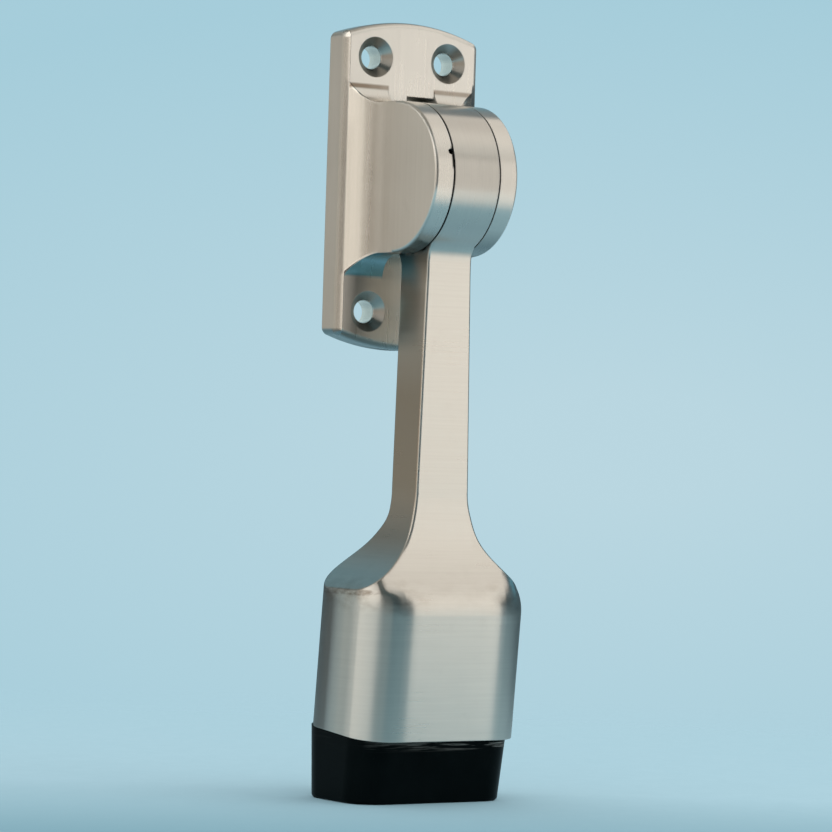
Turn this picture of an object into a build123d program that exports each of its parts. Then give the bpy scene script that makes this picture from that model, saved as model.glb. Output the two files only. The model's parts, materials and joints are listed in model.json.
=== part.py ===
from build123d import *
import math
import os

# Door-mounted door stop with a fold-down arm. Millimetres.
# X runs across the door, Y into the door, Z up.
# The origin is the centre of the screw-hole pattern, on the back of the plate.

# Plate
plate_w = 32.4
plate_h = 65.8
plate_t = 5.8
plate_bow = 3.0
plate_corner_r = 1.6
plate_front_r = 1.4
plate_back_r = 0.8

# Screw holes, for countersunk No. 8 wood screws
hole_dx = 17.4
hole_dz = 50.8
hole_r = 2.3
sink_r = 4.05

# Hinge
barrel_r = 15.0
barrel_to_door = 0.2
pivot_z = 1.1
cheek_outer = 9.75
cheek_inner = 5.6
cheek_edge_r = 0.6
root_r_top = 3.8
root_r_low = 5.0
root_r_side = 6.2
window_h = 24.8
relief_left = -1.0
relief_above = 2.0
relief_depth = 4.4
chip_r = 0.6
chip_depth = 2.5
chip_from_gap = 0.35
chip_angle = 17.5

# Pin and friction spring
pin_r = 3.0
pin_play = 0.05
pin_blind = 3.0
pin_sunk = 0.25
pin_chamfer = 0.4
play_left = 0.40
play_right = 0.30
spring_r = 6.5
spring_bore_play = 0.2
spring_t = 0.6
spring_flat = 0.6
spring_pocket_depth = 1.2
spring_pocket_play = 0.4

# Arm: neck, with its depth before and behind the hinge axis
neck_before = 6.2
neck_behind_top = 3.6
neck_behind_low = 2.9
neck_straight = 4.1
neck_low_half = 6.2
neck_blend_r = 5.0
neck_edge_r = 0.5

# Arm: flare from neck to shoe. Each shape lists (share of the drop, share of the spread).
flare_side_z = -60.6
flare_front_z = -62.0
flare_back_z = -64.5
flare_side_shape = [(0.27, 0.06), (0.50, 0.19), (0.66, 0.375), (0.82, 0.645)]
flare_front_shape = [(0.20, 0.045), (0.42, 0.136), (0.61, 0.30), (0.80, 0.55)]
flare_back_shape = [(0.30, 0.19), (0.55, 0.495), (0.78, 0.787)]

# Arm: shoe, whose sides lean toward the door on the way down
shoe_half_w = 18.6
shoe_half_d = 12.4
shoe_corner_r = 6.7
shoe_lean = 5.0
shoe_edge_z = -108.6
shoe_to_door = 0.75
shoe_side_top_z = -80.3
shoe_front_top_z = -81.5
shoe_back_top_z = -78.0
shoulder_front_r = 9.0
shoulder_back_r = 8.0
socket_wall = 4.0
socket_depth = 14.0

# Rubber foot
foot_sole_z = -122.2
foot_side_inset = 0.3
foot_side_draft = 0.5
foot_front_inset = 1.9
foot_front_draft = 1.7
foot_to_door = 0.15
foot_corner_r = 6.2
foot_sole_r = 0.8
plug_depth = 12.0
plug_play = 0.05

# Derived sizes
pivot_y = -(barrel_r + barrel_to_door)
neck_front = pivot_y - neck_before
neck_back_top = pivot_y + neck_behind_top
neck_back_low = pivot_y + neck_behind_low
neck_straight_z = pivot_z - barrel_r - neck_straight
knuckle_left = -cheek_inner + play_left
knuckle_right = cheek_inner - play_right
lean = math.radians(shoe_lean)
shoe_deep_half = shoe_half_d / math.cos(lean)


def shoe_mid_y(z):
    # The shoe's axis at height z: its lower back edge is just clear of the door.
    return -shoe_to_door - shoe_deep_half - math.tan(lean) * (z - shoe_edge_z)


# Plane of the shoe's lower edge, square to its leaning sides
edge_y = shoe_mid_y(shoe_edge_z)
edge_plane = Plane(
    origin=(0, edge_y, shoe_edge_z),
    x_dir=(1, 0, 0),
    z_dir=(0, -math.sin(lean), math.cos(lean)),
)


def edge_at(y):
    return shoe_edge_z + (y - edge_y) * math.tan(lean)


def x_cylinder(radius, x0, x1, y=pivot_y, z=pivot_z):
    plane = Plane(origin=(x0, y, z), x_dir=(0, 1, 0), z_dir=(1, 0, 0))
    return extrude(plane * Circle(radius), amount=x1 - x0)


def box_between(x0, x1, y0, y1, z0, z1):
    return Pos((x0 + x1) / 2, (y0 + y1) / 2, (z0 + z1) / 2) * Box(x1 - x0, y1 - y0, z1 - z0)


def plate():
    hw = plate_w / 2
    hh = plate_h / 2
    zc = hh - plate_bow
    top = ThreePointArc((-hw, 0, zc), (0, 0, hh), (hw, 0, zc))
    right = Line((hw, 0, zc), (hw, 0, -zc))
    bottom = ThreePointArc((hw, 0, -zc), (0, 0, -hh), (-hw, 0, -zc))
    left = Line((-hw, 0, -zc), (-hw, 0, zc))
    body = extrude(make_face([top, right, bottom, left]), amount=plate_t, dir=(0, -1, 0))
    body = fillet(body.edges().filter_by(Axis.Y), plate_corner_r)
    body = fillet(body.faces().sort_by(Axis.Y)[0].edges(), plate_front_r)
    return fillet(body.faces().sort_by(Axis.Y)[-1].edges(), plate_back_r)


def side_root():
    # Top view of the root at the right of the fork: start, middle and end of its hollow arc.
    # It ends where the plate's rounded edge begins.
    centre_x = cheek_outer + root_r_side
    end_x = min(centre_x, plate_w / 2 - plate_front_r)
    rise = math.sqrt(root_r_side ** 2 - (centre_x - end_x) ** 2)
    centre = Vector(centre_x, -plate_t - rise, 0)
    start = Vector(cheek_outer, centre.Y, 0)
    end = Vector(end_x, -plate_t, 0)
    half = ((start - centre) + (end - centre)).normalized()
    return start, centre + half * root_r_side, end


def cheek_block():
    # The side view has flared roots above and below, the top view flared roots at both sides.
    # Their common part has the mitred corners of a cast bracket.
    zt = pivot_z + barrel_r
    zb = pivot_z - barrel_r
    y0 = -plate_t
    back = y0 / 2
    k = 1 - math.sqrt(0.5)
    upper = (zt + root_r_top, zt + k * root_r_top, y0 - k * root_r_top, y0 - root_r_top)
    lower = (zb - root_r_low, zb - k * root_r_low, y0 - k * root_r_low, y0 - root_r_low)
    side = [
        Line((0, back, lower[0]), (0, back, upper[0])),
        Line((0, back, upper[0]), (0, y0, upper[0])),
        ThreePointArc((0, y0, upper[0]), (0, upper[2], upper[1]), (0, upper[3], zt)),
        Line((0, upper[3], zt), (0, pivot_y, zt)),
        ThreePointArc((0, pivot_y, zt), (0, pivot_y - barrel_r, pivot_z), (0, pivot_y, zb)),
        Line((0, pivot_y, zb), (0, lower[3], zb)),
        ThreePointArc((0, lower[3], zb), (0, lower[2], lower[1]), (0, y0, lower[0])),
        Line((0, y0, lower[0]), (0, back, lower[0])),
    ]
    side_solid = extrude(make_face(side), amount=plate_w, both=True, dir=(1, 0, 0))
    start, middle, end = side_root()
    far = pivot_y - barrel_r - 1.0
    top = [
        Line((-end.X, back, 0), (end.X, back, 0)),
        Line((end.X, back, 0), end),
        ThreePointArc(end, middle, start),
        Line(start, (start.X, far, 0)),
        Line((start.X, far, 0), (-start.X, far, 0)),
        Line((-start.X, far, 0), (-start.X, start.Y, 0)),
        ThreePointArc((-start.X, start.Y, 0), (-middle.X, middle.Y, 0), (-end.X, end.Y, 0)),
        Line((-end.X, end.Y, 0), (-end.X, back, 0)),
    ]
    top_solid = extrude(make_face(top), amount=plate_h, both=True, dir=(0, 0, 1))
    return side_solid & top_solid


def rim_cutter(sign):
    # Ring that rounds the outer edge of one cheek over its front half.
    r = cheek_edge_r
    k = r * math.sqrt(0.5)
    xo = sign * cheek_outer
    xi = sign * (cheek_outer - r)
    edge = [
        ThreePointArc(
            (xo, pivot_y, pivot_z + barrel_r - r),
            (xi + sign * k, pivot_y, pivot_z + barrel_r - r + k),
            (xi, pivot_y, pivot_z + barrel_r),
        ),
        Line((xi, pivot_y, pivot_z + barrel_r), (xi, pivot_y, pivot_z + barrel_r + 1)),
        Line((xi, pivot_y, pivot_z + barrel_r + 1), (xo + sign, pivot_y, pivot_z + barrel_r + 1)),
        Line((xo + sign, pivot_y, pivot_z + barrel_r + 1), (xo + sign, pivot_y, pivot_z + barrel_r - r)),
        Line((xo + sign, pivot_y, pivot_z + barrel_r - r), (xo, pivot_y, pivot_z + barrel_r - r)),
    ]
    axis = Axis((0, pivot_y, pivot_z), (1, 0, 0))
    ring = revolve(make_face(edge), axis=axis, revolution_arc=180)
    return ring


def screw_hole(x, z):
    plane = Plane(origin=(x, 0, z), x_dir=(1, 0, 0), z_dir=(0, -1, 0))
    drill = extrude(plane * Circle(hole_r), amount=plate_t + 1, both=True)
    sink_depth = sink_r - hole_r
    cone = Cone(hole_r, sink_r, sink_depth, align=(Align.CENTER, Align.CENTER, Align.MIN))
    cone_plane = plane.offset(plate_t - sink_depth)
    lip = extrude(plane.offset(plate_t) * Circle(sink_r), amount=1)
    return drill + cone_plane * cone + lip


def chip():
    # Small deep flaw in the left cheek, at the edge of the gap.
    a = math.radians(chip_angle)
    out = Vector(0, -math.cos(a), math.sin(a))
    bottom = Vector(-cheek_inner - chip_from_gap, pivot_y, pivot_z) + out * (barrel_r - chip_depth)
    plane = Plane(origin=bottom, x_dir=(1, 0, 0), z_dir=out)
    return extrude(plane * Circle(chip_r), amount=chip_depth + 1)


def bracket():
    body = plate() + cheek_block()
    for sign in (-1, 1):
        body = body - rim_cutter(sign)
    far = pivot_y - barrel_r - 2
    body = body - box_between(-cheek_inner, cheek_inner, far, -plate_t, -plate_h / 2, plate_h / 2)
    zw = window_h / 2
    body = body - box_between(-cheek_inner, cheek_inner, -plate_t - 1, 1, pivot_z - zw, pivot_z + zw)
    body = body - box_between(
        relief_left, cheek_inner, -plate_t - 1, -plate_t + relief_depth,
        pivot_z + zw - 1, pivot_z + barrel_r + relief_above,
    )
    for sx in (-1, 1):
        for sz in (-1, 1):
            body = body - screw_hole(sx * hole_dx / 2, sz * hole_dz / 2)
    body = body - x_cylinder(pin_r, -cheek_inner - pin_blind, cheek_outer + 1)
    return body - chip()


def pivot_pin():
    pin = x_cylinder(pin_r, -cheek_inner - pin_blind, cheek_outer - pin_sunk)
    return chamfer(pin.edges().filter_by(GeomType.CIRCLE), pin_chamfer)


def friction_spring():
    # Conical spring washer, pressed between the left cheek and the knuckle's pocket floor.
    x0 = -cheek_inner
    x1 = knuckle_left + spring_pocket_depth
    ri = pin_r + spring_bore_play
    ro = spring_r
    pts = [
        (x0, ri),
        (x0, ri + spring_flat),
        (x1 - spring_t, ro),
        (x1, ro),
        (x1, ro - spring_flat),
        (x0 + spring_t, ri),
    ]
    wire = Polyline([(x, pivot_y, pivot_z + r) for x, r in pts], close=True)
    return revolve(make_face(wire), axis=Axis((0, pivot_y, pivot_z), (1, 0, 0)))


def flare_points(start, corner, shape):
    # Points are (out, z) in the plane of the view, from the neck toward the shoulder.
    drop = corner[1] - start[1]
    spread = corner[0] - start[0]
    return [start] + [(start[0] + s * spread, start[1] + d * drop) for d, s in shape]


def rounded_flare(start, corner, shape, radius):
    # Side view of one flare, with its shoulder rounded over into the leaning wall of the shoe.
    pts = flare_points(start, corner, shape)
    last = Vector(0, *pts[-1])
    vertex = Vector(0, *corner)
    run = (vertex - last).normalized()
    down = Vector(0, math.sin(lean), -math.cos(lean))
    back = radius * math.tan(math.radians(run.get_angle(down)) / 2)
    first = vertex - run * back
    end = vertex + down * back
    curve = Spline([(0, y, z) for y, z in pts] + [first], tangents=[(0, 0, -1), run])
    return [curve, TangentArc(first, end, tangent=run)], end


def rolled_slab(top_y, start, corner, shape, radius, wall, far_y):
    # All that lies behind (or before) one flare of the side view, with the shoe's corner radius
    # rolled along its two long edges. wall is where the shoe's wall meets its lower edge.
    curves, end = rounded_flare(start, corner, shape, radius)
    outline = [
        Line((0, top_y, pivot_z), (0, *start)),
        *curves,
        Line(end, (0, *wall)),
        Line((0, *wall), (0, far_y, edge_at(far_y))),
        Line((0, far_y, edge_at(far_y)), (0, far_y, pivot_z)),
        Line((0, far_y, pivot_z), (0, top_y, pivot_z)),
    ]
    slab = extrude(make_face(outline), amount=shoe_half_w, both=True, dir=(1, 0, 0))
    middle = (end + Vector(0, *wall)) * 0.5
    long_edges = [
        slab.edges().sort_by_distance((sign * shoe_half_w, middle.Y, middle.Z))[0] for sign in (-1, 1)
    ]
    return fillet(long_edges, shoe_corner_r)


def arm_side_solid():
    reach = shoe_half_d * math.cos(lean)
    front_wall = (edge_y - reach, edge_at(edge_y - reach))
    back_wall = (edge_y + reach, edge_at(edge_y + reach))
    front = rolled_slab(
        neck_front,
        (neck_front, flare_front_z),
        (shoe_mid_y(shoe_front_top_z) - shoe_deep_half, shoe_front_top_z),
        flare_front_shape,
        shoulder_front_r,
        front_wall,
        edge_y + 3 * shoe_half_d,
    )
    back = rolled_slab(
        neck_back_top,
        (neck_back_low, flare_back_z),
        (shoe_mid_y(shoe_back_top_z) + shoe_deep_half, shoe_back_top_z),
        flare_back_shape,
        shoulder_back_r,
        back_wall,
        edge_y - 3 * shoe_half_d,
    )
    return front & back


def arm_front_solid():
    # Front view of neck, flare and shoe, across the full depth.
    z_low = shoe_edge_z - shoe_half_d
    edges = [
        Line((knuckle_left, 0, pivot_z), (knuckle_right, 0, pivot_z)),
        Line((-shoe_half_w, 0, z_low), (shoe_half_w, 0, z_low)),
    ]
    corner = (shoe_half_w, shoe_side_top_z)
    pts = flare_points((neck_low_half, flare_side_z), corner, flare_side_shape) + [corner]
    for sign, top in ((1, knuckle_right), (-1, knuckle_left)):
        flare = [Vector(sign * x, 0, z) for x, z in pts]
        edges.append(Line((top, 0, pivot_z), (top, 0, neck_straight_z)))
        edges.append(Line((top, 0, neck_straight_z), flare[0]))
        edges.append(Spline(flare, tangents=[(0, 0, -1), (flare[-1] - flare[-2]).normalized()]))
        edges.append(Line(flare[-1], (sign * shoe_half_w, 0, z_low)))
    return extrude(make_face(edges), amount=3 * shoe_half_w, both=True, dir=(0, 1, 0))


def socket(depth, play=0.0):
    # Rounded block along the shoe's leaning axis, up from its lower edge.
    inset = socket_wall + play
    outline = RectangleRounded(
        2 * (shoe_half_w - inset), 2 * (shoe_half_d - inset), shoe_corner_r - socket_wall / 2
    )
    return extrude(edge_plane * outline, amount=depth)


def neck_edges(body):
    # The four long corners of the neck, which run on down the flare.
    found = []
    z = (neck_straight_z + flare_side_z) / 2
    for y in (neck_front, (neck_back_top + neck_back_low) / 2):
        for x in ((knuckle_left - neck_low_half) / 2, (knuckle_right + neck_low_half) / 2):
            found.append(body.edges().sort_by_distance((x, y, z))[0])
    return found


def neck_roots(body):
    # The two inside corners where the neck leaves the barrel.
    found = []
    for y in (neck_front, neck_back_top):
        z = pivot_z - math.sqrt(barrel_r ** 2 - (y - pivot_y) ** 2)
        found.append(body.edges().filter_by(Axis.X).sort_by_distance((0, y, z))[0])
    return found


def arm():
    barrel = x_cylinder(barrel_r, knuckle_left, knuckle_right)
    body = arm_side_solid() & arm_front_solid()
    body = fillet(neck_roots(body + barrel), neck_blend_r)
    # The long roundings run on round the barrel's rims, which stay sharp at the gaps.
    body = fillet(neck_edges(body), neck_edge_r) + barrel
    body = body - x_cylinder(pin_r + pin_play, knuckle_left - 1, knuckle_right + 1)
    pocket_r = spring_r + spring_pocket_play
    body = body - x_cylinder(pocket_r, knuckle_left - 1, knuckle_left + spring_pocket_depth)
    return body - socket(socket_depth)


def rubber_foot():
    # The pad's back stands upright just clear of the door, its front and sides taper to the sole.
    front_y = edge_y - shoe_half_d + foot_front_inset
    back_y = -foot_to_door
    side = Polyline(
        [
            (0, front_y, edge_at(front_y)),
            (0, front_y + foot_front_draft, foot_sole_z),
            (0, back_y, foot_sole_z),
            (0, back_y, edge_at(back_y)),
        ],
        close=True,
    )
    top = shoe_half_w - foot_side_inset
    low = top - foot_side_draft
    z_top = edge_at(back_y)
    face = Polyline(
        [(-top, 0, z_top), (top, 0, z_top), (low, 0, foot_sole_z), (-low, 0, foot_sole_z)], close=True
    )
    pad = extrude(make_face(side), amount=shoe_half_w, both=True, dir=(1, 0, 0))
    pad = pad & extrude(make_face(face), amount=3 * shoe_half_d, both=True, dir=(0, 1, 0))
    corners = [e for e in pad.edges() if abs(e.tangent_at(0.5).Z) > 0.7]
    pad = fillet(corners, foot_corner_r)
    pad = fillet(pad.faces().sort_by(Axis.Z)[0].edges(), foot_sole_r)
    return pad + socket(plug_depth, plug_play)


PARTS = {
    "bracket": bracket(),
    "arm": arm(),
    "pivot_pin": pivot_pin(),
    "friction_spring": friction_spring(),
    "rubber_foot": rubber_foot(),
}

os.makedirs("parts", exist_ok=True)
for name, shape in PARTS.items():
    solids = shape.solids()
    box = shape.bounding_box()
    print(name, len(solids), "solid", round(shape.volume, 1), "mm3", box.min, box.max)
    export_step(shape, os.path.join("parts", name + ".step"))
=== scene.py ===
import json
import math
from types import SimpleNamespace

import bpy
from mathutils import Matrix, Vector

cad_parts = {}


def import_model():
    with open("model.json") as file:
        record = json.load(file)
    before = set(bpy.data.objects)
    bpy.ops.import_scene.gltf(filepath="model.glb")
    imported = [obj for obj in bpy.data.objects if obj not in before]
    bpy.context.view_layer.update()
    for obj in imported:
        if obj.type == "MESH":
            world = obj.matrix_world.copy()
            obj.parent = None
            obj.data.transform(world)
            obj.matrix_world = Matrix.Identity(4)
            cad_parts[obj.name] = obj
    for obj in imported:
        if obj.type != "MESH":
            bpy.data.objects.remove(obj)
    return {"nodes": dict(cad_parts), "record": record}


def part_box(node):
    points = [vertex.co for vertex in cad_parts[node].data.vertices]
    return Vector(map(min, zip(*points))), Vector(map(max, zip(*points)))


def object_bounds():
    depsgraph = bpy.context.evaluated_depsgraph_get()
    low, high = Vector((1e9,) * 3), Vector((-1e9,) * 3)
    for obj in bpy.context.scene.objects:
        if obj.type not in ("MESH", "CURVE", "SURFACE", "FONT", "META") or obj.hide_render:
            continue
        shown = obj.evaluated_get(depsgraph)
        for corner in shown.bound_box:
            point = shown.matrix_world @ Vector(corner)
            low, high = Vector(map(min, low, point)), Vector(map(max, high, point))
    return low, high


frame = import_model()
cad_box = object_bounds()

IMAGE_PX = 832

# Places taken from the frame, in metres
FLOOR_Z = cad_box[0][2]
PIVOT = tuple(frame["record"]["behaviour"]["joints"][0]["pos_m"])
BARREL_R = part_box("arm")[1][2] - PIVOT[2]
SHOE_EDGE_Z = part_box("arm")[0][2]
SCREWS = frame["record"]["mounts"][0]["dims"]
HOLE_X = SCREWS["spacing_x_mm"] / 2000
HOLE_Z = SCREWS["spacing_y_mm"] / 2000
HOLE_R = SCREWS["hole_r_mm"] / 1000

# Places on the part that only the materials use
SINK_R = 0.00405
ROOT_IN = 0.0104
ROOT_OUT = 0.0150
SHOE_TOP_Z = -0.0825
SHOE_SLOPE = 0.0875
SHOE_MID_Y = 0.0227

# How far the shading normal leans on hand-polished places
ROOT_BEND = 1.02
EDGE_BEND = 1.8
ROOT_EDGE_BEND = 2.1
SHOE_CROWN = 72.0
LEFT_TURN = -0.21
RIGHT_TURN = 0.32
CORNER_TURN = -0.9

# Brush lines and clouds, in cycles per metre along the line and across it
LINE_ALONG = 40.0
LINE_ACROSS = 1700.0
CLOUD = (70.0, 70.0, 70.0)

# Tones that masks lay over the steel: tarnish and stains, and painted shade, a painted highlight and
# a painted reflection
SIDE_FACE_SHADE = (0.42, 0.39, 0.35, 1.0)
UPPER_FACE_HIGHLIGHT = (0.94, 0.895, 0.83, 1.0)
COUNTERSINK_SHADE = (0.30, 0.26, 0.21, 1.0)
HOLLOW_PAINTED_REFLECTION = (0.11, 0.38, 0.47, 1.0)
RELIEF_BROWN = (0.26, 0.19, 0.13, 1.0)
LOWER_EDGE_SHADE = (0.13, 0.16, 0.16, 1.0)
DEEP_SHADE = (0.05, 0.07, 0.07, 1.0)
GAP_LINE_SHADE = (0.012, 0.011, 0.010, 1.0)
SHOE_REAR_SHADE = (0.30, 0.34, 0.34, 1.0)
NECK_BROWN_SHADE = (0.44, 0.34, 0.25, 1.0)
UNDER_BARREL_SHADE = (0.07, 0.065, 0.055, 1.0)
FLARE_TARNISH = (0.34, 0.27, 0.20, 1.0)
RIM_TARNISH = (0.16, 0.10, 0.06, 1.0)
UNDERSIDE_SHADE = (0.20, 0.27, 0.29, 1.0)
STAIN = (0.46, 0.41, 0.35, 1.0)
RECESS_SHADE = (0.16, 0.20, 0.20, 1.0)
GAP_SHADE = (0.020, 0.019, 0.018, 1.0)

# Rubber tones
RUBBER_DEEP = (0.0008, 0.0022, 0.0024, 1.0)
RUBBER_WORN = (0.0018, 0.0038, 0.0042, 1.0)
RUBBER_SCUFF = (0.30, 0.31, 0.29, 1.0)
RUBBER_DUST = (0.10, 0.11, 0.115, 1.0)

# Stage: pale blue background and paper, warm white lamp, and cards for the reflections
MIDDLE = Vector((0.0, -0.012, -0.045))
BLUE = (0.488, 0.675, 0.750, 1.0)
BLUE_EDGE = (0.380, 0.610, 0.705, 1.0)
GLOW_WAY = (0.600, 0.800, 0.0)
GLOW_SQUASH = (0.6, 0.6, 1.4)
WARM = (1.0, 0.965, 0.915)
WORLD_LIGHT = 1.0
FLOOR_SOLID = 0.10
FLOOR_END = 0.30
PAPER_DARK = (0.385, 0.585, 0.670, 1.0)
PAPER_LIGHT = (0.400, 0.600, 0.685, 1.0)
PAPER_FRONT_SHADE = (0.225, 0.400, 0.475, 1.0)
PAPER_AHEAD = (-0.55, -0.83, 0.0)
PAPER_FIBRE = (240.0, 240.0, 240.0)
HOLE_GLOW = (0.72, 0.95, 1.0, 1.0)
HOLE_BACK_Y = 0.0003
CARD_FAR = 1.5
CARD_STEP = 8

# Name, azimuths and elevations in degrees, and colour of each card
CARDS = [
    ("stage_key", (22, 60), (-31, 26), (1.04, 1.015, 0.955, 1.0)),
    ("stage_key_gap", (22, 60), (26, 36), (0.80, 0.775, 0.72, 1.0)),
    ("stage_key_high", (0, 72), (36, 64), (0.84, 0.82, 0.77, 1.0)),
    ("stage_top_right", (72, 120), (34, 64), (0.90, 0.87, 0.82, 1.0)),
    ("stage_right_low", (60, 166), (-14, 12), (0.05, 0.09, 0.11, 1.0)),
    ("stage_right_back", (166, 180), (-14, 12), (0.12, 0.15, 0.16, 1.0)),
    ("stage_right_mid", (60, 100), (12, 34), (0.06, 0.10, 0.12, 1.0)),
    ("stage_back_mid", (100, 180), (12, 34), (0.10, 0.30, 0.40, 1.0)),
    ("stage_back_high", (120, 180), (34, 64), (0.18, 0.22, 0.24, 1.0)),
    ("stage_flag_low", (-34, 22), (-14, 12), (0.01, 0.02, 0.025, 1.0)),
    ("stage_flag_mid", (-60, 22), (12, 34), (0.02, 0.035, 0.04, 1.0)),
    ("stage_flag_high", (-60, 0), (34, 64), (0.03, 0.07, 0.08, 1.0)),
    ("stage_left_front", (-61, -34), (-14, 12), (0.22, 0.20, 0.17, 1.0)),
    ("stage_left_strip", (-96, -61), (-14, 12), (1.10, 1.05, 0.96, 1.0)),
    ("stage_left_low", (-122, -96), (-14, 12), (0.32, 0.295, 0.255, 1.0)),
    ("stage_left_back", (-144, -122), (-14, 12), (0.49, 0.47, 0.415, 1.0)),
    ("stage_left_fill", (-120, -60), (12, 40), (1.45, 1.43, 1.36, 1.0)),
    ("stage_left_high", (-120, -60), (40, 64), (0.05, 0.05, 0.05, 1.0)),
    ("stage_back_left_low", (-164, -144), (-14, 12), (0.36, 0.38, 0.36, 1.0)),
    ("stage_behind_low", (-180, -164), (-14, 12), (0.20, 0.22, 0.22, 1.0)),
    ("stage_back_left_mid", (-180, -120), (12, 40), (0.15, 0.18, 0.18, 1.0)),
    ("stage_back_left_high", (-180, -120), (40, 64), (0.40, 0.40, 0.35, 1.0)),
    ("stage_top", (-180, 180), (64, 89), (0.28, 0.27, 0.24, 1.0)),
]


class Nodes:
    """Short helpers around one node tree."""

    def __init__(self, tree):
        self.tree = tree
        tree.nodes.clear()

    def add(self, kind, **settings):
        node = self.tree.nodes.new(kind)
        for key, value in settings.items():
            setattr(node, key, value)
        return node

    def link(self, source, target):
        self.tree.links.new(source, target)

    def feed(self, socket, value):
        if isinstance(value, bpy.types.NodeSocket):
            self.link(value, socket)
        else:
            socket.default_value = value

    def math(self, operation, a, b=None):
        node = self.add("ShaderNodeMath", operation=operation)
        self.feed(node.inputs[0], a)
        if b is not None:
            self.feed(node.inputs[1], b)
        return node.outputs[0]

    def vector(self, operation, a, b=None):
        node = self.add("ShaderNodeVectorMath", operation=operation)
        self.feed(node.inputs[0], a)
        if b is not None:
            self.feed(node.inputs[1], b)
        return node.outputs["Value" if operation in ("LENGTH", "DOT_PRODUCT") else "Vector"]

    def axes(self, vector):
        node = self.add("ShaderNodeSeparateXYZ")
        self.link(vector, node.inputs[0])
        return node.outputs

    def joined(self, x=0.0, y=0.0, z=0.0):
        node = self.add("ShaderNodeCombineXYZ")
        for socket, value in zip(node.inputs, (x, y, z)):
            self.feed(socket, value)
        return node.outputs[0]

    def ramp(self, value, low, high, out_low=0.0, out_high=1.0):
        node = self.add("ShaderNodeMapRange", clamp=True)
        self.feed(node.inputs["Value"], value)
        node.inputs["From Min"].default_value = low
        node.inputs["From Max"].default_value = high
        node.inputs["To Min"].default_value = out_low
        node.inputs["To Max"].default_value = out_high
        return node.outputs["Result"]

    def band(self, value, low, high, soft):
        """One between two limits, falling to nought over a soft edge outside them."""
        rise = self.ramp(value, low - soft, low)
        fall = self.ramp(value, high, high + soft, 1.0, 0.0)
        return self.math("MULTIPLY", rise, fall)

    def both(self, *masks):
        """Product of masks and numbers, the first of them a mask."""
        product = masks[0]
        for mask in masks[1:]:
            product = self.math("MULTIPLY", product, mask)
        return product

    def noise(self, coords, scale, detail=4.0, rough=0.6):
        node = self.add("ShaderNodeTexNoise", noise_dimensions="3D")
        self.link(self.vector("MULTIPLY", coords, scale), node.inputs["Vector"])
        node.inputs["Scale"].default_value = 1.0
        node.inputs["Detail"].default_value = detail
        node.inputs["Roughness"].default_value = rough
        return node.outputs["Fac"]

    def mix(self, kind, factor, a, b):
        first = {"FLOAT": 2, "VECTOR": 4, "RGBA": 6}[kind]
        node = self.add("ShaderNodeMix", data_type=kind)
        self.feed(node.inputs[0], factor)
        self.feed(node.inputs[first], a)
        self.feed(node.inputs[first + 1], b)
        return node.outputs[first // 2 - 1]

    def worn_edges(self, radius):
        bevel = self.add("ShaderNodeBevel", samples=4)
        bevel.inputs["Radius"].default_value = radius
        return bevel.outputs[0]

    def to_world(self, vector):
        node = self.add("ShaderNodeVectorTransform", vector_type="VECTOR")
        node.convert_from = "OBJECT"
        node.convert_to = "WORLD"
        self.link(vector, node.inputs[0])
        return node.outputs[0]

    def bumped(self, height, strength, distance, normal):
        bump = self.add("ShaderNodeBump")
        bump.inputs["Strength"].default_value = strength
        bump.inputs["Distance"].default_value = distance
        self.link(height, bump.inputs["Height"])
        self.link(normal, bump.inputs["Normal"])
        return bump.outputs[0]


def material(name):
    made = bpy.data.materials.new(name)
    made.use_nodes = True
    n = Nodes(made.node_tree)
    out = n.add("ShaderNodeOutputMaterial")
    return made, n, out.inputs["Surface"]


def tint(n, m, mask, tone):
    m.colour = n.mix("RGBA", mask, m.colour, tone)


def bracket_roots(n, m):
    """The polished roots run over into the plate's edge without a line."""
    reach = n.math("ABSOLUTE", n.math("SUBTRACT", m.z, PIVOT[2]))
    reach = n.math("SUBTRACT", reach, BARREL_R)
    lean = n.both(n.math("SUBTRACT", m.far, ROOT_IN), 0.9)
    inside = n.ramp(n.math("SUBTRACT", reach, lean), -0.0004, 0.0001, 1.0, 0.0)
    root = n.both(n.band(m.far, ROOT_IN, ROOT_OUT, 0.0006), inside, m.ahead)
    left = n.both(n.ramp(m.x, -0.0010, 0.0010, 1.0, 0.0), n.band(m.z, -0.0300, 0.0300, 0.0030))
    edge = n.math("MAXIMUM", left, n.band(m.z, -0.0160, 0.0178, 0.0040))
    edge = n.both(edge, n.ramp(m.far, 0.01465, 0.01485), m.ahead)
    root_bend = n.both(root, n.ramp(m.far, 0.0122, 0.0148, ROOT_BEND, EDGE_BEND))
    edge_bend = n.both(edge, n.ramp(inside, 0.0, 1.0, EDGE_BEND, ROOT_EDGE_BEND))
    bend = n.math("MAXIMUM", root_bend, edge_bend)
    m.bend_x = n.both(bend, n.math("SIGN", m.x))
    m.gloss = n.math("SUBTRACT", m.gloss, n.both(n.math("MAXIMUM", root, edge), 0.09))


def bracket_holes(n, m):
    """Countersinks and bores are turned smooth."""
    off_x = n.math("SUBTRACT", m.far, HOLE_X)
    off_z = n.math("SUBTRACT", n.math("ABSOLUTE", m.z), HOLE_Z)
    out = n.vector("LENGTH", n.joined(x=off_x, z=off_z))
    sink = n.ramp(out, SINK_R - 0.0001, SINK_R + 0.0001, 1.0, 0.0)
    sink = n.both(sink, n.ramp(m.y, -0.0003, -0.0001, 1.0, 0.0))
    bore = n.both(n.ramp(out, HOLE_R, HOLE_R + 0.0002, 1.0, 0.0), sink)
    m.gloss = n.mix("FLOAT", sink, m.gloss, n.ramp(bore, 0.0, 1.0, 0.30, 0.14))
    # Painted shade darkens the countersinks' cones.
    tint(n, m, n.both(n.math("SUBTRACT", sink, bore), 0.50), COUNTERSINK_SHADE)


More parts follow.
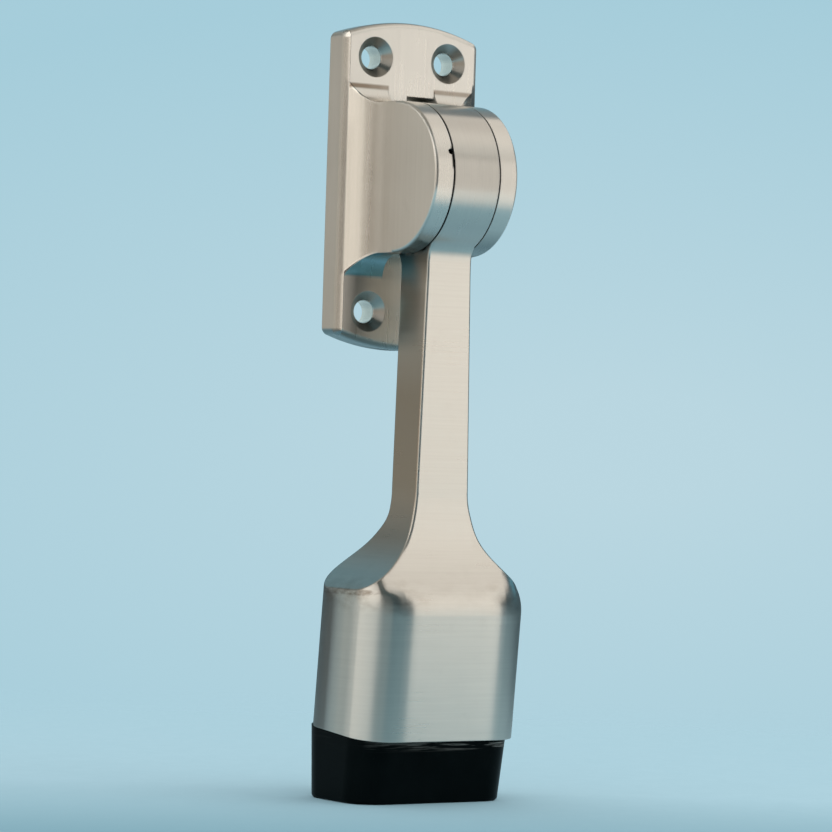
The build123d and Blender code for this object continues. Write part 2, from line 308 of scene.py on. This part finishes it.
def bracket_marks(n, m):
    """Polish, painted shade, a painted highlight and a painted reflection of the bracket."""
    m.far = n.math("ABSOLUTE", m.x)
    m.ahead = n.ramp(m.y, -0.0044, -0.0041, 1.0, 0.0)
    m.gloss = n.math("ADD", m.gloss, n.both(m.side, 0.12))
    bracket_roots(n, m)
    # Painted shade darkens the plate's side and the cheeks beside the roots; a painted highlight
    # brightens the plate's upper face.
    strip = n.both(n.ramp(m.far, 0.0158, 0.0162, 0.0, 0.30), m.side)
    flank = n.both(n.ramp(m.far, 0.0112, 0.0106), n.ramp(m.y, -0.0280, -0.0110, 0.0, 0.28), m.side)
    tint(n, m, n.math("MAXIMUM", strip, flank), SIDE_FACE_SHADE)
    upper = n.both(n.ramp(m.y, -0.0080, -0.0075), n.ramp(m.z, 0.010, 0.014))
    tint(n, m, n.both(n.ramp(m.ny, -0.99, -0.90, 1.0, 0.0), upper, 0.55), UPPER_FACE_HIGHLIGHT)
    bracket_holes(n, m)
    # Painted blue reflection in the hollow of the roots under the fork, and brown edges of the
    # hollows above it
    scoop = n.both(n.ramp(m.nz, -0.14, -0.05, 1.0, 0.0), n.ramp(m.y, -0.0112, -0.0106))
    tint(n, m, n.both(scoop, n.band(m.z, -0.0190, -0.0136, 0.0002), 0.85), HOLLOW_PAINTED_REFLECTION)
    relief = n.both(n.band(m.z, 0.0192, 0.0197, 0.0004), n.band(m.far, 0.0056, 0.0145, 0.0004))
    tint(n, m, n.both(relief, m.ahead, n.ramp(m.cloud, 0.35, 0.60, 0.60, 0.90)), RELIEF_BROWN)
    # Painted shade on the lower edge of the plate and the underside of the barrel
    lower = n.both(n.ramp(m.nz, -0.40, -0.10, 1.0, 0.0), n.ramp(m.z, -0.0290, -0.0280, 1.0, 0.0))
    tint(n, m, n.both(lower, 0.8), LOWER_EDGE_SHADE)
    deep = n.both(n.ramp(m.nz, -0.88, -0.66, 0.75, 0.0), n.ramp(m.y, -0.0112, -0.0106, 1.0, 0.0))
    tint(n, m, deep, DEEP_SHADE)
    # Painted shade: a black line down the left gap, below the flaw beside it
    gap_line = n.both(n.band(m.x, -0.0058, -0.0052, 0.0002), n.band(m.z, 0.0028, 0.0062, 0.0008))
    tint(n, m, n.both(gap_line, n.ramp(m.y, -0.0262, -0.0258, 1.0, 0.0), 0.95), GAP_LINE_SHADE)


def arm_polish(n, m):
    """Hand-polished faces of the shoe are slightly crowned, and its corners turn early."""
    shoe = n.ramp(m.z, SHOE_TOP_Z, SHOE_TOP_Z + 0.0045, 1.0, 0.0)
    middle = n.math("SUBTRACT", n.math("MULTIPLY", m.z, -SHOE_SLOPE), SHOE_MID_Y)
    back = n.math("SUBTRACT", m.y, middle)
    m.bend_y = n.both(shoe, n.math("POWER", m.side, 3.0), n.both(back, SHOE_CROWN))
    m.gloss = n.math("ADD", m.gloss, n.both(shoe, m.side, 0.12))
    # Painted shade: the shoe's sides darken towards the back.
    tint(n, m, n.both(shoe, m.side, n.ramp(back, -0.0010, 0.0060, 0.0, 0.55)), SHOE_REAR_SHADE)
    left = n.ramp(m.x, -0.0125, -0.0080, LEFT_TURN, 0.0)
    right = n.ramp(m.x, 0.0062, 0.0125, 0.0, RIGHT_TURN)
    turn = n.both(shoe, n.both(m.ny, m.ny), n.math("ADD", left, right))
    # The flare's left corner is polished flat down to the shoe.
    corner = n.both(n.band(m.z, -0.0798, -0.0730, 0.0016), n.band(m.x, -0.0150, -0.0050, 0.0015))
    flat = n.both(corner, n.ramp(m.ny, -0.50, -0.25, 1.0, 0.0), n.both(m.nx, CORNER_TURN))
    m.bend_x = n.math("ADD", turn, flat)


def arm_marks(n, m):
    """Polish, tarnish and painted shade of the arm."""
    arm_polish(n, m)
    # Painted shade in brown on the sides of the neck, darkest under the barrel
    neck = n.both(n.ramp(m.z, -0.076, -0.060), n.ramp(m.z, -0.008, -0.004, 1.0, 0.0))
    neck = n.both(neck, n.ramp(m.side, 0.45, 0.80))
    tint(n, m, n.both(neck, n.ramp(m.z, -0.042, -0.028, 0.88, 0.44)), NECK_BROWN_SHADE)
    tint(n, m, n.both(neck, n.ramp(m.z, -0.0205, -0.0155, 0.0, 0.62)), UNDER_BARREL_SHADE)
    # Faint tarnish where the flare meets the shoe, and along the shoulder edge of its sides
    blot = n.ramp(n.noise(m.pos, (220.0, 220.0, 500.0)), 0.42, 0.72)
    ends = n.ramp(n.math("ABSOLUTE", m.x), 0.0060, 0.0120, 0.12, 0.50)
    tint(n, m, n.both(n.band(m.z, -0.0825, -0.0800, 0.0030), blot, ends), FLARE_TARNISH)
    rim = n.both(n.band(m.z, -0.0812, -0.0803, 0.0003), n.ramp(m.side, 0.3, 0.6), blot)
    tint(n, m, n.both(rim, 0.8), RIM_TARNISH)


def brushed(n, m, kind):
    """Brush lines, and the way across them in which the gloss is drawn out. They run upright on
    the bracket, across on the arm and round the barrel on both."""
    across = (1.0, 0.0, 0.0)
    upright = (0.0, 0.0, 1.0)
    round_lines = n.noise(m.pos, (LINE_ACROSS, LINE_ALONG, LINE_ALONG))
    if kind == "arm":
        off = n.vector("MULTIPLY", n.vector("SUBTRACT", m.pos, PIVOT), (0.0, 1.0, 1.0))
        off = n.vector("LENGTH", off)
        knuckle = n.ramp(off, BARREL_R + 0.0004, BARREL_R + 0.0022, 1.0, 0.0)
        cross_lines = n.noise(m.pos, (LINE_ALONG, LINE_ALONG, LINE_ACROSS))
        lines = n.mix("FLOAT", knuckle, cross_lines, round_lines)
        return lines, n.mix("VECTOR", knuckle, upright, across)
    # The small step along X keeps the direction alive where the face is level.
    spread = n.vector("ADD", n.vector("CROSS_PRODUCT", upright, m.normal), (0.05, 0.0, 0.0))
    if kind == "bracket":
        side_lines = n.noise(m.pos, (LINE_ALONG, LINE_ACROSS, LINE_ALONG))
        return n.mix("FLOAT", m.side, round_lines, side_lines), spread
    return round_lines, spread


def steel(name, kind, light, dark, rough, stretch):
    """Satin steel with brush lines, marks of its piece, stains and painted shade in gaps and
    recesses.
    """
    made, n, surface = material(name)
    coord = n.add("ShaderNodeTexCoord")
    m = SimpleNamespace(pos=coord.outputs["Object"], normal=coord.outputs["Normal"])
    m.x, m.y, m.z = n.axes(m.pos)
    m.nx, m.ny, m.nz = n.axes(m.normal)
    m.side = n.math("POWER", n.math("ABSOLUTE", m.nx), 2.0)
    m.bend_x = 0.0
    m.bend_y = 0.0

    lines, spread = brushed(n, m, kind)
    m.cloud = n.noise(m.pos, CLOUD, 3.0, 0.55)
    tone = n.math("ADD", n.both(lines, 0.6), n.both(m.cloud, 0.4))
    m.colour = n.mix("RGBA", n.ramp(tone, 0.30, 0.70), dark, light)
    m.gloss = n.ramp(lines, 0.30, 0.70, rough - 0.02, rough + 0.02)
    m.gloss = n.math("ADD", m.gloss, n.ramp(m.cloud, 0.3, 0.7, -0.02, 0.02))
    facing = n.worn_edges(0.00025)

    if kind == "bracket":
        bracket_marks(n, m)
    if kind == "arm":
        arm_marks(n, m)
    if kind in ("arm", "bracket"):
        bend = n.to_world(n.joined(x=m.bend_x, y=m.bend_y))
        facing = n.vector("NORMALIZE", n.vector("ADD", facing, bend))
        # Painted shade on the undersides.
        tint(n, m, n.ramp(m.nz, -0.65, -0.20, 0.50, 0.0), UNDERSIDE_SHADE)
    stain = n.noise(m.pos, (160.0, 160.0, 160.0), 4.0, 0.65)
    tint(n, m, n.ramp(stain, 0.60, 0.85, 0.0, 0.15), STAIN)
    # Painted shade in gaps and recesses, from ambient occlusion
    open_sky = n.add("ShaderNodeAmbientOcclusion", samples=6)
    open_sky.inputs["Distance"].default_value = 0.006
    tint(n, m, n.ramp(open_sky.outputs["AO"], 0.30, 0.70, 0.45, 0.0), RECESS_SHADE)
    tint(n, m, n.ramp(open_sky.outputs["AO"], 0.08, 0.30, 1.0, 0.0), GAP_SHADE)

    shader = n.add("ShaderNodeBsdfPrincipled")
    shader.inputs["Metallic"].default_value = 1.0
    shader.inputs["Anisotropic"].default_value = stretch
    n.link(m.colour, shader.inputs["Base Color"])
    n.link(m.gloss, shader.inputs["Roughness"])
    n.link(n.bumped(lines, 0.14, 0.00005, facing), shader.inputs["Normal"])
    n.link(n.to_world(spread), shader.inputs["Tangent"])
    n.link(shader.outputs[0], surface)
    return made


def rubber(name):
    """Black moulded rubber with a pale scuffed lip under the shoe's front."""
    made, n, surface = material(name)
    coord = n.add("ShaderNodeTexCoord")
    pos = coord.outputs["Object"]
    x, _, z = n.axes(pos)
    ny = n.axes(coord.outputs["Normal"])[1]
    cloud = n.noise(pos, (130.0, 130.0, 90.0))
    grain = n.noise(pos, (2600.0, 2600.0, 2600.0), 3.0)
    colour = n.mix("RGBA", n.ramp(cloud, 0.35, 0.7), RUBBER_DEEP, RUBBER_WORN)
    lip = n.ramp(z, SHOE_EDGE_Z - 0.0022, SHOE_EDGE_Z - 0.0004)
    streak = n.ramp(n.noise(pos, (110.0, 110.0, 2000.0), 3.0), 0.50, 0.64)
    front = n.ramp(ny, -0.9, -0.6, 1.0, 0.06)
    scuff = n.both(lip, streak, front, n.ramp(x, -0.010, 0.004, 0.25, 1.0))
    colour = n.mix("RGBA", n.both(scuff, 0.8), colour, RUBBER_SCUFF)
    dust = n.ramp(n.noise(pos, (700.0, 700.0, 700.0), 3.0), 0.68, 0.82, 0.0, 0.06)
    colour = n.mix("RGBA", dust, colour, RUBBER_DUST)
    rough = n.math("ADD", n.ramp(cloud, 0.3, 0.7, 0.30, 0.42), n.both(scuff, 0.2))

    shader = n.add("ShaderNodeBsdfPrincipled")
    shader.inputs["Specular IOR Level"].default_value = 0.03
    n.link(colour, shader.inputs["Base Color"])
    n.link(rough, shader.inputs["Roughness"])
    n.link(n.bumped(grain, 0.18, 0.00008, n.worn_edges(0.0004)), shader.inputs["Normal"])
    n.link(shader.outputs[0], surface)
    return made


def dress(node, look):
    mesh = frame["nodes"][node].data
    mesh.materials.clear()
    mesh.materials.append(look)


def away(azimuth, elevation):
    """Unit vector from the object toward a place given by radians round it and up."""
    level = math.cos(elevation)
    return Vector((math.sin(azimuth) * level, -math.cos(azimuth) * level, math.sin(elevation)))


def seen_from(azimuth, elevation, distance):
    return MIDDLE + away(math.radians(azimuth), math.radians(elevation)) * distance


def ring(count, radius):
    turns = [2 * math.pi * i / count for i in range(count)]
    return [(radius * math.cos(t), radius * math.sin(t)) for t in turns]


def stage_mesh(name, verts, faces, look):
    mesh = bpy.data.meshes.new(name)
    mesh.from_pydata(verts, [], faces)
    mesh.materials.append(look)
    piece = bpy.data.objects.new(name, mesh)
    bpy.context.scene.collection.objects.link(piece)
    return piece


def floor():
    """Round sheet of pale blue paper that fades into the background of the same colour."""
    made, n, surface = material("stage_paper")
    pos = n.add("ShaderNodeTexCoord").outputs["Object"]
    flat = n.vector("MULTIPLY", n.vector("SUBTRACT", pos, tuple(MIDDLE)), (1.0, 1.0, 0.0))
    fade = n.ramp(n.vector("LENGTH", flat), FLOOR_SOLID, FLOOR_END)
    fibre = n.noise(pos, PAPER_FIBRE, 3.0)
    paper = n.mix("RGBA", n.ramp(fibre, 0.3, 0.7), PAPER_DARK, PAPER_LIGHT)
    ahead = n.vector("DOT_PRODUCT", flat, PAPER_AHEAD)
    # Painted shade: the paper darkens towards the front.
    paper = n.mix("RGBA", n.ramp(ahead, -0.02, 0.08), paper, PAPER_FRONT_SHADE)
    sheet = n.add("ShaderNodeBsdfDiffuse")
    n.link(paper, sheet.inputs["Color"])
    clear = n.add("ShaderNodeBsdfTransparent")
    blend = n.add("ShaderNodeMixShader")
    n.link(fade, blend.inputs[0])
    n.link(sheet.outputs[0], blend.inputs[1])
    n.link(clear.outputs[0], blend.inputs[2])
    n.link(blend.outputs[0], surface)
    verts = [(MIDDLE.x + x, MIDDLE.y + y, FLOOR_Z) for x, y in ring(64, FLOOR_END)]
    stage_mesh("stage_floor", verts, [tuple(range(len(verts)))], made)


def glow(name, colour):
    made, n, surface = material(name)
    light = n.add("ShaderNodeEmission")
    light.inputs["Color"].default_value = colour
    n.link(light.outputs[0], surface)
    return made


def hide(piece):
    """Leave a stage piece to reflections alone."""
    piece.visible_camera = False
    piece.visible_diffuse = False
    piece.visible_shadow = False


def card(name, az, el, colour):
    """Studio card that only reflections see, between two azimuths and two elevations."""
    steps = max(2, round((az[1] - az[0]) / CARD_STEP))
    verts = []
    for i in range(steps + 1):
        a = az[0] + (az[1] - az[0]) * i / steps
        verts.append(seen_from(a, el[0], CARD_FAR))
        verts.append(seen_from(a, el[1], CARD_FAR))
    faces = [(2 * i, 2 * i + 1, 2 * i + 3, 2 * i + 2) for i in range(steps)]
    hide(stage_mesh(name, verts, faces, glow(name, colour)))


def hole_backs():
    """Discs of the background colour behind the screw holes, for the reflections in their bores."""
    look = glow("stage_hole_back", HOLE_GLOW)
    for i, (sx, sz) in enumerate([(-1, -1), (-1, 1), (1, -1), (1, 1)]):
        verts = [(sx * HOLE_X + x, HOLE_BACK_Y, sz * HOLE_Z + z) for x, z in ring(16, HOLE_R)]
        hide(stage_mesh(f"stage_hole_back_{i + 1}", verts, [tuple(range(len(verts)))], look))


def softbox(name, azimuth, elevation, distance, wide, high, bright):
    """Area lamp given by the brightness of its face, where 1 is white."""
    data = bpy.data.lights.new(name, "AREA")
    data.shape = "RECTANGLE"
    data.size = wide
    data.size_y = high
    data.energy = math.pi * wide * high * bright
    data.color = WARM
    lamp = bpy.data.objects.new(name, data)
    bpy.context.scene.collection.objects.link(lamp)
    lamp.location = seen_from(azimuth, elevation, distance)
    lamp.rotation_euler = (MIDDLE - lamp.location).to_track_quat("-Z", "Y").to_euler()
    lamp.visible_camera = False
    lamp.visible_glossy = False


def world():
    """The background colour for what is seen and mirrored, and plain white light for the rest."""
    w = bpy.context.scene.world or bpy.data.worlds.new("world")
    bpy.context.scene.world = w
    w.use_nodes = True
    n = Nodes(w.node_tree)
    path = n.add("ShaderNodeLightPath")
    seen = n.math("MAXIMUM", path.outputs["Is Camera Ray"], path.outputs["Is Glossy Ray"])
    seen = n.math("MAXIMUM", seen, path.outputs["Is Transmission Ray"])
    light = n.add("ShaderNodeBackground")
    light.inputs["Color"].default_value = (1.0, 1.0, 1.0, 1.0)
    light.inputs["Strength"].default_value = WORLD_LIGHT
    ray = n.add("ShaderNodeTexCoord").outputs["Generated"]
    off = n.vector("MULTIPLY", n.vector("SUBTRACT", ray, GLOW_WAY), GLOW_SQUASH)
    off = n.vector("LENGTH", off)
    back = n.add("ShaderNodeBackground")
    n.link(n.mix("RGBA", n.ramp(off, 0.02, 0.17), BLUE, BLUE_EDGE), back.inputs["Color"])
    back.inputs["Strength"].default_value = 1.0
    blend = n.add("ShaderNodeMixShader")
    n.link(seen, blend.inputs[0])
    n.link(light.outputs[0], blend.inputs[1])
    n.link(back.outputs[0], blend.inputs[2])
    out = n.add("ShaderNodeOutputWorld")
    n.link(blend.outputs[0], out.inputs["Surface"])


def camera():
    """Camera solved from the photograph's hole, rim and shoe positions, in millimetres."""
    azimuth, elevation, roll = (math.radians(v) for v in (-33.744, -0.377, 1.743))
    distance, focal_px, move_right, move_up = 749.4, 3745.3, -0.21, -45.957
    target = Vector((0, -8.96, 0))
    back = away(azimuth, elevation)
    flat_right = (-back).cross(Vector((0, 0, 1))).normalized()
    flat_up = flat_right.cross(-back)
    right = math.cos(roll) * flat_right + math.sin(roll) * flat_up
    up = -math.sin(roll) * flat_right + math.cos(roll) * flat_up
    place = target + back * distance + right * move_right + up * move_up
    data = bpy.data.cameras.new("camera")
    data.sensor_fit = "HORIZONTAL"
    data.sensor_width = 36.0
    data.lens = focal_px / IMAGE_PX * data.sensor_width
    data.clip_start = 0.01
    data.clip_end = 20.0
    cam = bpy.data.objects.new("camera", data)
    bpy.context.scene.collection.objects.link(cam)
    turn = Matrix((right, up, back)).transposed()
    cam.matrix_world = Matrix.Translation(place * 0.001) @ turn.to_4x4()
    bpy.context.scene.camera = cam


dress("bracket", steel(
    "bracket_steel_look", "bracket",
    light=(0.83, 0.785, 0.72, 1.0), dark=(0.76, 0.715, 0.65, 1.0), rough=0.29, stretch=0.75,
))
dress("arm", steel(
    "arm_steel_look", "arm",
    light=(0.78, 0.735, 0.67, 1.0), dark=(0.70, 0.655, 0.595, 1.0), rough=0.30, stretch=0.90,
))
dress("pivot_pin", steel(
    "pin_steel_look", "pin",
    light=(0.66, 0.64, 0.61, 1.0), dark=(0.52, 0.50, 0.47, 1.0), rough=0.30, stretch=0.3,
))
dress("friction_spring", steel(
    "spring_steel_look", "pin",
    light=(0.30, 0.30, 0.31, 1.0), dark=(0.20, 0.20, 0.21, 1.0), rough=0.35, stretch=0.3,
))
dress("rubber_foot", rubber("foot_rubber_look"))

floor()
hole_backs()
softbox("key_front", azimuth=42, elevation=24, distance=1.15, wide=0.9, high=1.6, bright=0.9)
for card_name, card_az, card_el, card_colour in CARDS:
    card(card_name, card_az, card_el, card_colour)
world()
camera()
bpy.context.scene.view_settings.view_transform = "Standard"
